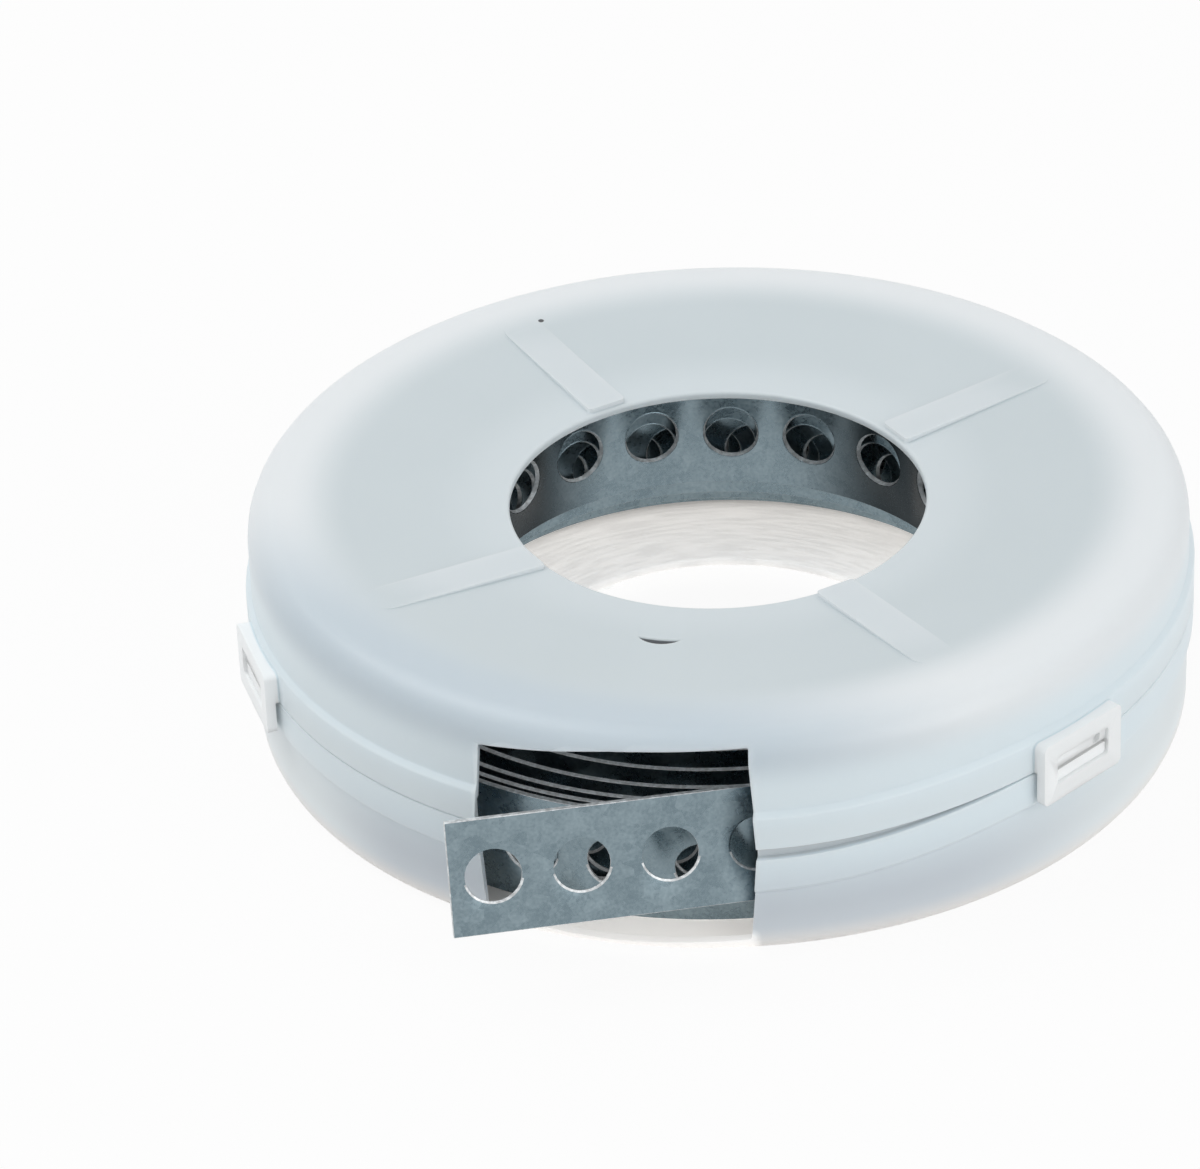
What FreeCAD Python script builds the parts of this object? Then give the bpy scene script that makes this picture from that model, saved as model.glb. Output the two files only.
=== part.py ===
"""Perforated steel strap, coiled in a ring-shaped dispenser case of two clipped plastic halves.

Lengths are in millimetres and angles in degrees. +Z is up along the axis of the case and the coil.
The origin is on that axis, at mid-height, where the two halves meet. The strap's free end runs
along -X.
"""
import os

import FreeCAD
import Part
import Sketcher

V = FreeCAD.Vector

DIMENSIONS = {
    # Plastic case: two halves that meet at mid-height
    "case_radius": 66.6,
    "case_height": 34.4,
    "wall": 1.3,
    "bore_radius": 29.5,
    "shoulder_radius": 4.6,
    "shoulder_facets": 3,
    "rest_ring_width": 5.0,
    "rim_drop": 2.3,
    "seam_gap": 0.3,
    "seam_bow": 0.65,
    "seam_bow_reach": 57.0,
    "belt_height": 5.2,
    "belt_proud": 0.8,
    # Radial ribs on each half
    "rib_count": 4,
    "rib_width": 6.0,
    "rib_rise": 0.7,
    "rib_start_gap": 0.6,
    "rib_reach": 56.5,
    "rib_sink": 0.1,
    "rib_turn": 1.2,
    # Clip loops on the upper half, catches on the lower half
    "clip_count": 3,
    "clip_width": 15.5,
    "clip_height": 9.5,
    "clip_bar": 2.6,
    "clip_thickness": 1.4,
    "clip_clearance": 0.2,
    "catch_width": 9.0,
    "catch_clearance": 0.15,
    # Window in the front wall, and the way it faces, counted from -Y towards -X
    "window_angle": 24.5,
    "window_shift": 1.2,
    "window_seam_width": 38.7,
    "window_end_width": 36.7,
    "window_rise_left": 12.4,
    "window_rise_right": 15.5,
    "window_drop_left": 14.6,
    "window_drop_right": 14.6,
    "window_arch": 0.9,
    # Half-moon slit near the bore's rim, over the window
    "slit_radius": 39.0,
    "slit_chord": 6.2,
    "slit_depth": 1.8,
    # Galvanised strap
    "strap_width": 17.0,
    "strap_thickness": 0.8,
    "hole_pitch": 12.0,
    "hole_diameter": 7.6,
    "coil_inner_radius": 35.2,
    "coil_turns": 10,
    "coil_sag": 2.0,
    "coil_head_gap": 0.4,
    "pocket_depth": 1.6,
    "pocket_sides": 8,
    # Free end of the strap, straight from where it leaves the coil
    "end_rise": 6.0,
    "end_first_hole": 9.0,
    "end_hole_count": 4,
    "end_margin": 6.0,
    "end_root": 8.0,
}

DERIVED = {
    "half_height": "=case_height / 2",
    "seam_face": "=seam_gap / 2",
    "belt_radius": "=case_radius + belt_proud",
    "rest_outer": "=case_radius - shoulder_radius",
    "rest_inner": "=case_radius - shoulder_radius - rest_ring_width",
    "window_back": "=case_radius - shoulder_radius - 2 * rest_ring_width",
    "top_slope": "=rim_drop / (case_radius - shoulder_radius - rest_ring_width - bore_radius)",
    "rib_start": "=bore_radius + rib_start_gap",
    "rib_round": "=rib_reach - rib_width / 2",
    "clip_back": "=case_radius + belt_proud + clip_clearance",
    "clip_root": "=belt_proud + clip_clearance + wall / 2",
    "clip_half": "=clip_height / 2",
    "clip_eye": "=clip_height / 2 - clip_bar",
    "slit_bend": "=(slit_chord ^ 2 / 4 + slit_depth ^ 2) / (2 * slit_depth)",
    "coil_outer_radius": "=rest_outer",
    "coil_floor": "=wall - half_height",
    "coil_head": "=half_height - wall - top_slope * (rest_inner - coil_inner_radius) - coil_head_gap",
    "turn_step": "=(coil_outer_radius - coil_inner_radius - strap_thickness) / (coil_turns - 1)",
    "coil_lift": "=coil_head - strap_width - coil_floor",
    "inner_hole_height": "=coil_head - strap_width / 2",
    "end_hole_height": "=coil_floor + end_rise + strap_width / 2",
    "end_length": "=end_first_hole + (end_hole_count - 1) * hole_pitch + end_margin",
}

SHEET = "dim"


def fill_sheet(doc):
    """Puts the driving and the derived dimensions in a spreadsheet, one alias a row."""
    sheet = doc.addObject("Spreadsheet::Sheet", SHEET)
    cells = {**{name: str(number) for name, number in DIMENSIONS.items()}, **DERIVED}
    for row, (alias, content) in enumerate(cells.items(), start=1):
        sheet.set(f"A{row}", alias)
        sheet.set(f"B{row}", content)
        sheet.setAlias(f"B{row}", alias)
    doc.recompute()
    return sheet


def number(doc, expression):
    """The value that an expression of the sheet has now."""
    return float(doc.getObject(SHEET).evalExpression(expression.replace(f"{SHEET}.", "")))


def origin_part(body, role):
    """The body's own origin plane or axis of that role."""
    return next(f for f in body.Origin.OriginFeatures if f.Role == role)


def attach(sketch, body, role, lift=None, turn=None):
    """Lays a sketch on an origin plane, lifted off it or turned about its upright as asked."""
    sketch.AttachmentSupport = [(origin_part(body, role), "")]
    sketch.MapMode = "FlatFace"
    if lift:
        sketch.setExpression("AttachmentOffset.Base.z", lift)
    if turn:
        sketch.AttachmentOffset = FreeCAD.Placement(V(0, 0, 0), FreeCAD.Rotation(V(0, 1, 0), 1))
        sketch.setExpression("AttachmentOffset.Rotation.Angle", turn)


def hold(sketch, kind, geometry, vertex, name, expression):
    """Fixes one coordinate of a vertex, from the sketch's origin, at an expression."""
    start = number(sketch.Document, expression)
    index = sketch.addConstraint(Sketcher.Constraint(kind, -1, 1, geometry, vertex, start))
    sketch.renameConstraint(index, name)
    sketch.setExpression(f"Constraints.{name}", expression)


def polygon(body, name, role, corners, lift=None, turn=None):
    """A closed outline through named corners, each a pair of expressions."""
    sketch = body.newObject("Sketcher::SketchObject", name)
    attach(sketch, body, role, lift, turn)
    doc = body.Document
    names = list(corners)
    points = [V(number(doc, across), number(doc, along), 0) for across, along in corners.values()]
    count = len(points)
    for i in range(count):
        sketch.addGeometry(Part.LineSegment(points[i], points[(i + 1) % count]), False)
    for i in range(count):
        sketch.addConstraint(Sketcher.Constraint("Coincident", i, 2, (i + 1) % count, 1))
    for i, corner in enumerate(names):
        across, along = corners[corner]
        hold(sketch, "DistanceX", i, 1, f"{corner}_across", across)
        hold(sketch, "DistanceY", i, 1, f"{corner}_along", along)
    return sketch


def circle(body, name, role, across, along, diameter, lift=None, turn=None):
    """A circle with its centre at a pair of expressions."""
    sketch = body.newObject("Sketcher::SketchObject", name)
    attach(sketch, body, role, lift, turn)
    doc = body.Document
    centre = V(number(doc, across), number(doc, along), 0)
    sketch.addGeometry(Part.Circle(centre, V(0, 0, 1), number(doc, diameter) / 2), False)
    for kind, axis, expression in (("DistanceX", "across", across), ("DistanceY", "along", along)):
        if expression == "0":
            line = -2 if axis == "across" else -1
            sketch.addConstraint(Sketcher.Constraint("PointOnObject", 0, 3, line))
        else:
            hold(sketch, kind, 0, 3, axis, expression)
    index = sketch.addConstraint(Sketcher.Constraint("Diameter", 0, number(doc, diameter)))
    sketch.renameConstraint(index, "diameter")
    sketch.setExpression("Constraints.diameter", diameter)
    return sketch


def extrude(body, kind, name, sketch, length, reverse=False, both_ways=False):
    """A Pad or a Pocket of a sketch, by a length given as an expression."""
    feature = body.newObject(f"PartDesign::{kind}", name)
    feature.Profile = sketch
    feature.setExpression("Length", length)
    feature.Reversed = reverse
    feature.Midplane = both_ways
    body.Document.recompute()
    return feature


def revolve(body, name, sketch):
    """A full turn of a sketch about the body's upright axis."""
    feature = body.newObject("PartDesign::Revolution", name)
    feature.Profile = sketch
    feature.ReferenceAxis = (sketch, ["V_Axis"])
    feature.Angle = 360
    body.Document.recompute()
    return feature


def spread(body, name, originals, count, angle):
    """Copies features about the upright axis, count of them over the angle."""
    pattern = body.newObject("PartDesign::PolarPattern", name)
    pattern.Originals = originals
    pattern.Axis = (origin_part(body, "Z_Axis"), [""])
    pattern.setExpression("Occurrences", count)
    pattern.setExpression("Angle", angle)
    body.Tip = pattern
    body.Document.recompute()
    return pattern


def shoulder_corners(facets):
    """Corners along the round outer shoulder, from the flat rest ring out to the upright wall."""
    corners = {}
    for step in range(facets + 1):
        turn = f"{90 * step / facets}"
        corners[f"shoulder_{step}"] = (
            f"dim.rest_outer + dim.shoulder_radius * sin({turn})",
            f"dim.half_height - dim.shoulder_radius * (1 - cos({turn}))",
        )
    return corners


def case_half(doc, label, upper):
    """One half of the case, modelled with its seam face down and the window towards -Y."""
    body = doc.addObject("PartDesign::Body", label)
    body.Label = label
    face = "dim.seam_face"
    top = "dim.half_height"
    ring = "dim.rest_inner"
    wall = "dim.case_radius - dim.wall"
    section = polygon(body, f"{label}_section", "XZ_Plane", {
        "rim_top": ("dim.bore_radius", f"{top} - dim.rim_drop"),
        "ring_top": (ring, top),
        **shoulder_corners(DIMENSIONS["shoulder_facets"]),
        "belt_root": ("dim.case_radius", "dim.belt_height"),
        "belt_edge": ("dim.belt_radius", "dim.belt_height"),
        "seam_edge": ("dim.belt_radius", face),
        "seam_inner": (wall, face),
        "wall_under": (wall, f"{top} - dim.shoulder_radius"),
        "shoulder_under": ("dim.rest_outer", f"{top} - dim.wall"),
        "ring_under": (ring, f"{top} - dim.wall"),
        "rim_under": ("dim.bore_radius", f"{top} - dim.rim_drop - dim.wall"),
    })
    revolve(body, f"{label}_shell", section)
    add_ribs(body, label)
    cut_window(body, label, upper)
    bow_seam(body, label)
    if upper:
        cut_slit(body, label)
        add_loops(body, label)
    else:
        add_catches(body, label)
    return body


def top_at(radius):
    """The height of the sloping top face at a radius, as an expression."""
    return f"(dim.half_height - dim.top_slope * (dim.rest_inner - {radius}))"


def add_ribs(body, label):
    """Flat radial ribs with round outer ends, which die out towards the flat rest ring."""
    start, end = "dim.rib_start", "dim.rib_round"
    end_top = "dim.half_height - dim.rib_sink"
    turn = "180 / dim.rib_count - dim.rib_turn"
    side = polygon(body, f"{label}_rib_side", "XZ_Plane", {
        "start_low": (start, f"{top_at(start)} - dim.wall / 2"),
        "end_low": (end, f"{top_at(end)} - dim.wall / 2"),
        "end_high": (end, end_top),
        "start_high": (start, f"{top_at(start)} + dim.rib_rise"),
    }, turn=turn)
    rib = extrude(body, "Pad", f"{label}_rib", side, "dim.rib_width", both_ways=True)
    ribs = spread(body, f"{label}_ribs", [rib], "dim.rib_count", "360")
    outline = circle(body, f"{label}_rib_end_outline", "XY_Plane", f"{end} * cos({turn})",
                     f"{end} * sin({turn})", "dim.rib_width", lift=f"{top_at(end)} - dim.wall / 2")
    rib_end = extrude(body, "Pad", f"{label}_rib_end", outline,
                      f"{end_top} - {top_at(end)} + dim.wall / 2")
    spread(body, f"{label}_rib_ends", [rib_end], "dim.rib_count", "360")
    return ribs


def cut_window(body, label, upper):
    """This half's notch of the window, wider at the seam, with an arched end that slants."""
    if upper:
        middle, left, right = "-dim.window_shift", "dim.window_rise_left", "dim.window_rise_right"
    else:
        middle, left, right = "dim.window_shift", "dim.window_drop_right", "dim.window_drop_left"
    notch = polygon(body, f"{label}_window_outline", "XZ_Plane", {
        "seam_left": (f"{middle} - dim.window_seam_width / 2", "-dim.seam_gap"),
        "seam_right": (f"{middle} + dim.window_seam_width / 2", "-dim.seam_gap"),
        "end_right": (f"{middle} + dim.window_end_width / 2", right),
        "end_middle": (middle, f"({left} + {right}) / 2 + dim.window_arch"),
        "end_left": (f"{middle} - dim.window_end_width / 2", left),
    }, lift="dim.window_back")
    extrude(body, "Pocket", f"{label}_window", notch, "dim.case_radius", reverse=True)


def bow_seam(body, label):
    """The seam face bows away from the other half beside the window, where the clips don't pull it in."""
    bow = polygon(body, f"{label}_bow_outline", "XZ_Plane", {
        "low_left": ("-dim.seam_bow_reach", "-dim.seam_gap"),
        "low_right": ("dim.seam_bow_reach", "-dim.seam_gap"),
        "face_right": ("dim.seam_bow_reach", "dim.seam_face"),
        "middle": ("0", "dim.seam_face + dim.seam_bow"),
        "face_left": ("-dim.seam_bow_reach", "dim.seam_face"),
    })
    extrude(body, "Pocket", f"{label}_bow", bow, "2 * dim.case_radius", reverse=True)


def cut_slit(body, label):
    """The half-moon slit near the bore's rim, its chord towards the bore."""
    sketch = body.newObject("Sketcher::SketchObject", f"{label}_slit_outline")
    attach(sketch, body, "XY_Plane")
    doc = body.Document
    half = number(doc, "dim.slit_chord / 2")
    depth = number(doc, "dim.slit_depth")
    chord = number(doc, "-dim.slit_radius")
    left, low, right = V(-half, chord, 0), V(0, chord - depth, 0), V(half, chord, 0)
    sketch.addGeometry(Part.Arc(left, low, right), False)
    sketch.addGeometry(Part.LineSegment(right, left), False)
    sketch.addConstraint(Sketcher.Constraint("Coincident", 0, 2, 1, 1))
    sketch.addConstraint(Sketcher.Constraint("Coincident", 0, 1, 1, 2))
    hold(sketch, "DistanceX", 1, 1, "right_across", "dim.slit_chord / 2")
    hold(sketch, "DistanceY", 1, 1, "right_along", "-dim.slit_radius")
    hold(sketch, "DistanceX", 1, 2, "left_across", "-dim.slit_chord / 2")
    hold(sketch, "DistanceY", 1, 2, "left_along", "-dim.slit_radius")
    index = sketch.addConstraint(Sketcher.Constraint("Radius", 0, number(doc, "dim.slit_bend")))
    sketch.renameConstraint(index, "bend")
    sketch.setExpression("Constraints.bend", "dim.slit_bend")
    extrude(body, "Pocket", f"{label}_slit", sketch, "2 * dim.half_height", reverse=True)


def add_loops(body, label):
    """Rectangular clip loops that hang from the upper belt over the lower one."""
    half, eye = "dim.clip_half", "dim.clip_eye"
    edge, bar = "dim.clip_width / 2", "(dim.clip_width / 2 - dim.clip_bar)"
    saddle = polygon(body, f"{label}_saddle_outline", "XZ_Plane", {
        "foot_left": (f"-{edge}", "dim.seam_face"),
        "top_left": (f"-{edge}", half),
        "top_right": (edge, half),
        "foot_right": (edge, "dim.seam_face"),
        "inner_right": (bar, "dim.seam_face"),
        "eye_right": (bar, eye),
        "eye_left": (f"-{bar}", eye),
        "inner_left": (f"-{bar}", "dim.seam_face"),
    }, lift="-dim.clip_back - dim.clip_thickness / 2")
    saddle_pad = extrude(body, "Pad", f"{label}_saddle", saddle,
                         "dim.clip_root + dim.clip_thickness / 2")
    frame = polygon(body, f"{label}_loop_outline", "XZ_Plane", {
        "low_left": (f"-{edge}", f"-{half}"),
        "low_right": (edge, f"-{half}"),
        "top_right": (edge, half),
        "top_left": (f"-{edge}", half),
    }, lift="-dim.clip_back - dim.clip_thickness")
    loop = extrude(body, "Pad", f"{label}_loop", frame, "dim.clip_thickness")
    opening = polygon(body, f"{label}_eye_outline", "XZ_Plane", {
        "low_left": (f"-{bar}", f"-{eye}"),
        "low_right": (bar, f"-{eye}"),
        "top_right": (bar, eye),
        "top_left": (f"-{bar}", eye),
    }, lift="-dim.clip_back - dim.clip_thickness")
    window = extrude(body, "Pocket", f"{label}_eye", opening, "dim.clip_thickness", reverse=True)
    spread(body, f"{label}_loops", [saddle_pad, loop, window], "dim.clip_count", "360")


def add_catches(body, label):
    """Catches on the lower belt that the loops' lower bars snap under."""
    edge = "dim.catch_width / 2"
    low, high = "dim.seam_face + dim.catch_clearance", "dim.clip_eye - dim.catch_clearance"
    outline = polygon(body, f"{label}_catch_outline", "XZ_Plane", {
        "low_left": (f"-{edge}", low),
        "low_right": (edge, low),
        "high_right": (edge, high),
        "high_left": (f"-{edge}", high),
    }, lift="-dim.clip_back - dim.clip_thickness")
    catch = extrude(body, "Pad", f"{label}_catch", outline, "dim.clip_root + dim.clip_thickness")
    spread(body, f"{label}_catches", [catch], "dim.clip_count", "360")


def turn_floor(turn, turns):
    """The height of one turn's lower edge: the loose inner turns ride up, each higher than the last."""
    return f"(dim.coil_floor + dim.coil_lift * {1 - turn / (turns - 1)} ^ dim.coil_sag)"


def coil_corners(turns):
    """Corners of the coil's half section: on top each turn's edge, and the slope down to the next.

    The underside, which the case hides, has a corner only every few turns.
    """
    corners = {}
    for turn in range(0, turns, 4):
        inner = f"dim.coil_inner_radius + {turn} * dim.turn_step"
        corners[f"floor_in_{turn}"] = (inner, turn_floor(turn, turns))
    corners["floor_out"] = ("dim.coil_outer_radius", "dim.coil_floor")
    for turn in reversed(range(turns)):
        inner = f"dim.coil_inner_radius + {turn} * dim.turn_step"
        crest = f"{turn_floor(turn, turns)} + dim.strap_width"
        corners[f"crest_out_{turn}"] = (f"{inner} + dim.strap_thickness", crest)
        corners[f"crest_in_{turn}"] = (inner, crest)
    return corners


def hole_corners(sides):
    """Corners round one hole of the innermost turn, which is cut with few sides."""
    corners = {}
    for side in range(sides):
        turn = f"{360 * (side + 0.5) / sides}"
        corners[f"corner_{side}"] = (
            f"dim.hole_diameter / 2 * cos({turn})",
            f"dim.inner_hole_height + dim.hole_diameter / 2 * sin({turn})",
        )
    return corners


def strap(doc, label):
    """The coil as one turned solid with its bore, and the straight free end with its holes."""
    body = doc.addObject("PartDesign::Body", label)
    body.Label = label
    section = polygon(body, "coil_section", "XZ_Plane", coil_corners(DIMENSIONS["coil_turns"]))
    revolve(body, "coil", section)
    outer, inner = "-dim.coil_outer_radius", "-dim.coil_outer_radius + dim.strap_thickness"
    strip = polygon(body, "free_end_outline", "XY_Plane", {
        "tip_outer": ("-dim.end_length", outer),
        "root_outer": ("dim.end_root", outer),
        "root_inner": ("dim.end_root", inner),
        "tip_inner": ("-dim.end_length", inner),
    }, lift="dim.coil_floor + dim.end_rise")
    extrude(body, "Pad", "free_end", strip, "dim.strap_width")
    hole = circle(body, "end_hole_outline", "XZ_Plane", "-dim.end_first_hole", "dim.end_hole_height",
                  "dim.hole_diameter", lift="dim.coil_outer_radius + dim.strap_thickness")
    first = extrude(body, "Pocket", "end_hole", hole, "2 * dim.strap_thickness")
    row = body.newObject("PartDesign::LinearPattern", "end_holes")
    row.Originals = [first]
    row.Direction = (hole, ["H_Axis"])
    row.Reversed = True
    row.setExpression("Length", "(dim.end_hole_count - 1) * dim.hole_pitch")
    row.setExpression("Occurrences", "dim.end_hole_count")
    body.Tip = row
    doc.recompute()
    pocket = polygon(body, "inner_hole_outline", "XZ_Plane", hole_corners(DIMENSIONS["pocket_sides"]))
    inner_hole = extrude(body, "Pocket", "inner_hole", pocket, "dim.coil_inner_radius + dim.pocket_depth")
    count = "floor(2 * pi * dim.coil_inner_radius / dim.hole_pitch)"
    spread(body, "inner_holes", [inner_hole], count, "360")
    return body


def check(doc, bodies):
    """Stops the build when a feature failed or a piece isn't one valid solid."""
    for obj in doc.Objects:
        if "Invalid" in obj.State or "Error" in obj.State:
            raise RuntimeError(f"{obj.Name} is {obj.State}")
    for body in bodies:
        shape = body.Shape
        if shape.isNull() or not shape.isValid() or len(shape.Solids) != 1:
            raise RuntimeError(f"{body.Label} isn't one valid solid")
        box = shape.BoundBox
        print(body.Label, round(shape.Volume), "mm3", [round(x, 2) for x in (
            box.XMin, box.XMax, box.YMin, box.YMax, box.ZMin, box.ZMax)])


def main():
    """Builds the three pieces in place and writes each to its file."""
    doc = FreeCAD.newDocument("strap_dispenser")
    fill_sheet(doc)
    upper = case_half(doc, "upper_case_half", True)
    lower = case_half(doc, "lower_case_half", False)
    band = strap(doc, "perforated_strap")
    facing = FreeCAD.Rotation(V(0, 0, 1), -number(doc, "dim.window_angle"))
    upside_down = FreeCAD.Rotation(V(0, 1, 0), 180)
    upper.Placement = FreeCAD.Placement(V(0, 0, 0), facing)
    lower.Placement = FreeCAD.Placement(V(0, 0, 0), facing * upside_down)
    doc.recompute()
    bodies = [upper, lower, band]
    check(doc, bodies)
    os.makedirs("parts", exist_ok=True)
    for body in bodies:
        body.Shape.exportStep(f"parts/{body.Label}.step")


main()
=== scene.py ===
"""Dresses the perforated steel strap and its frosted dispenser case, and sets up the studio view.

Sizes are written in millimetres and multiplied by MM, because every mesh is in metres. The origin is on
the axis of the case, at mid-height, where its two halves meet, and the strap's free end runs along -X.
"""

import logging
import math
from dataclasses import dataclass
from enum import Enum

import bmesh
import bpy
from mathutils import Matrix, Vector


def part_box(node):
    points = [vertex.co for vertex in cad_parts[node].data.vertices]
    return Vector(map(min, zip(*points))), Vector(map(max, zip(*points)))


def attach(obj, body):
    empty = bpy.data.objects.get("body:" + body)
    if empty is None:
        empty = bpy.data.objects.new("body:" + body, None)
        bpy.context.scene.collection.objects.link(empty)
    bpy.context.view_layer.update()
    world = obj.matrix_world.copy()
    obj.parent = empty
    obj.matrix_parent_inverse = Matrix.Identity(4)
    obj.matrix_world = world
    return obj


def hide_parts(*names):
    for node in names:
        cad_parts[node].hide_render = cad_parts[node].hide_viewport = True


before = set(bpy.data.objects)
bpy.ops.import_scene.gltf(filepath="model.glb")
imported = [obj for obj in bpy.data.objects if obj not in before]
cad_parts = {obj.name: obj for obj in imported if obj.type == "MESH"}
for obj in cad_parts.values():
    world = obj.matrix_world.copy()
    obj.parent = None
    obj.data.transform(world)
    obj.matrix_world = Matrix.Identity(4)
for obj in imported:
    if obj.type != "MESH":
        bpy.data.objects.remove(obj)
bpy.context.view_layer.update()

MM = 0.001
LOG = logging.getLogger("strap")

Point = tuple[float, float]
Span = tuple[float, float]
Corner = tuple[float, float, float]
Colour = tuple[float, float, float]

BLACK: Colour = (0.0, 0.0, 0.0)
WHITE: Colour = (1.0, 1.0, 1.0)


class Side(Enum):
    """The two halves of the case."""

    UPPER = "upper_case_half"
    LOWER = "lower_case_half"


def smooth(value: float, low: float, high: float) -> float:
    """Rises softly from 0 at low to 1 at high.

    Args:
        value: where to read the step.
        low: the value at which it starts to rise.
        high: the value at which it has risen.

    Returns:
        The height of the step, from 0 to 1.
    """
    share = min(1.0, max(0.0, (value - low) / (high - low)))
    return share * share * (3.0 - 2.0 * share)


def srgb(red: int, green: int, blue: int) -> Colour:
    """Turns a colour as a picture holds it, 0 to 255, into the linear one that shaders take.

    Args:
        red: red, 0 to 255.
        green: green, 0 to 255.
        blue: blue, 0 to 255.

    Returns:
        The linear colour.
    """

    def linear(value: int) -> float:
        """One channel of it."""
        share = value / 255.0
        return share / 12.92 if share <= 0.04045 else ((share + 0.055) / 1.055) ** 2.4

    return linear(red), linear(green), linear(blue)


def rounded(corners: list[Corner], step_deg: float = 15.0) -> list[Point]:
    """Rounds the corners of a closed outline.

    Args:
        corners: the outline's corners in order, each with its radius.
        step_deg: the turn of each short edge along a round corner.

    Returns:
        The outline's points in order.
    """
    points: list[Point] = []
    for index, (across, along, radius) in enumerate(corners):
        here = Vector((across, along))
        before = Vector(corners[index - 1][:2]) - here
        after = Vector(corners[(index + 1) % len(corners)][:2]) - here
        if radius <= 0:
            points.append((across, along))
            continue
        opening = before.angle(after)
        reach = radius / math.tan(opening / 2)
        start = here + before.normalized() * reach
        end = here + after.normalized() * reach
        inwards = (before.normalized() + after.normalized()).normalized()
        middle = here + inwards * (radius / math.sin(opening / 2))
        turn = math.pi - opening
        steps = max(2, round(math.degrees(turn) / step_deg))
        first, last = start - middle, end - middle
        for step in range(steps + 1):
            share = step / steps
            blend = (first * math.sin(turn * (1 - share)) + last * math.sin(turn * share)) / math.sin(turn)
            points.append(tuple(middle + blend))
    return points


def plate(sides: Span, levels: Span, low: float, high: float) -> list[Point]:
    """The outline of an upright plate with rounded corners.

    Args:
        sides: where its left and right sides lie.
        levels: where its lower and upper edges lie.
        low: the radius of its lower corners.
        high: the radius of its upper corners.

    Returns:
        The outline's points in order.
    """
    (left, right), (bottom, top) = sides, levels
    return rounded([(left, bottom, low), (right, bottom, low), (right, top, high), (left, top, high)])


def prism(outline: list[Point], axes: Matrix, depth: float) -> bmesh.types.BMesh:
    """Makes a solid of one outline.

    Args:
        outline: the points of the outline, in millimetres.
        axes: turns the outline's own across, along and depth into the part's frame.
        depth: how far the outline is drawn out, in millimetres.

    Returns:
        The solid, in metres.
    """
    bm = bmesh.new()
    verts = [bm.verts.new((across, along, 0.0)) for across, along in outline]
    face = bm.faces.new(verts)
    drawn = bmesh.ops.extrude_face_region(bm, geom=[face])["geom"]
    moved = [item for item in drawn if isinstance(item, bmesh.types.BMVert)]
    bmesh.ops.translate(bm, verts=moved, vec=(0.0, 0.0, depth))
    bmesh.ops.transform(bm, matrix=Matrix.Scale(MM, 4) @ axes, verts=bm.verts)
    bmesh.ops.recalc_face_normals(bm, faces=bm.faces)
    return bm


def frame_axes(across: Vector, along: Vector, origin: Vector) -> Matrix:
    """The matrix whose first two axes lie as given, with its origin there.

    Args:
        across: the first axis.
        along: the second axis.
        origin: the place of the origin.

    Returns:
        The matrix from the outline's own axes to the part's frame.
    """
    depth = across.cross(along)
    turned = Matrix((across, along, depth)).transposed().to_4x4()
    return Matrix.Translation(origin) @ turned


def to_object(name: str, bm: bmesh.types.BMesh) -> bpy.types.Object:
    """Links a new object that holds the mesh.

    Args:
        name: the object's name.
        bm: its mesh, which is freed.

    Returns:
        The object.
    """
    mesh = bpy.data.meshes.new(name)
    bm.to_mesh(mesh)
    bm.free()
    piece = bpy.data.objects.new(name, mesh)
    bpy.context.scene.collection.objects.link(piece)
    return piece


def combine(piece: bpy.types.Object, tool: bmesh.types.BMesh, operation: str) -> None:
    """Adds a solid to a piece or cuts it away, and keeps the result as the piece's mesh.

    Args:
        piece: the piece to change.
        tool: the other solid, which is used up.
        operation: UNION or DIFFERENCE.
    """
    other = to_object(f"{piece.name}_tool", tool)
    modifier = piece.modifiers.new("combine", "BOOLEAN")
    modifier.operation = operation
    modifier.solver = "EXACT"
    modifier.object = other
    view = bpy.context.evaluated_depsgraph_get()
    mesh = bpy.data.meshes.new_from_object(piece.evaluated_get(view))
    piece.modifiers.clear()
    old = piece.data
    piece.data = mesh
    bpy.data.meshes.remove(old)
    spare = other.data
    bpy.data.objects.remove(other)
    bpy.data.meshes.remove(spare)


def soften(piece: bpy.types.Object, width: float, limit_deg: float, segments: int) -> None:
    """Shades a piece smoothly, with narrow rounds along its hard edges.

    Args:
        piece: the piece.
        width: the width of the rounds in millimetres.
        limit_deg: edges that turn by more are hard.
        segments: how many faces a round has.
    """
    piece.data.shade_smooth()
    bevel = piece.modifiers.new("edges", "BEVEL")
    bevel.width = width * MM
    bevel.segments = segments
    bevel.limit_method = "ANGLE"
    bevel.angle_limit = math.radians(limit_deg)
    bevel.harden_normals = True
    bevel.miter_outer = "MITER_ARC"


def new_group(name: str, inputs: dict[str, str], outputs: dict[str, str]) -> bpy.types.NodeTree:
    """Starts a shader node group with its sockets.

    Args:
        name: the group's name.
        inputs: the names of its inputs, each with the type of its socket.
        outputs: the names of its outputs, each with the type of its socket.

    Returns:
        The group, with its input node first and its output node second.
    """
    group = bpy.data.node_groups.new(name, "ShaderNodeTree")
    for way, sockets in (("INPUT", inputs), ("OUTPUT", outputs)):
        for socket, kind in sockets.items():
            group.interface.new_socket(socket, in_out=way, socket_type=kind)
    group.nodes.new("NodeGroupInput")
    group.nodes.new("NodeGroupOutput")
    return group


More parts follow.
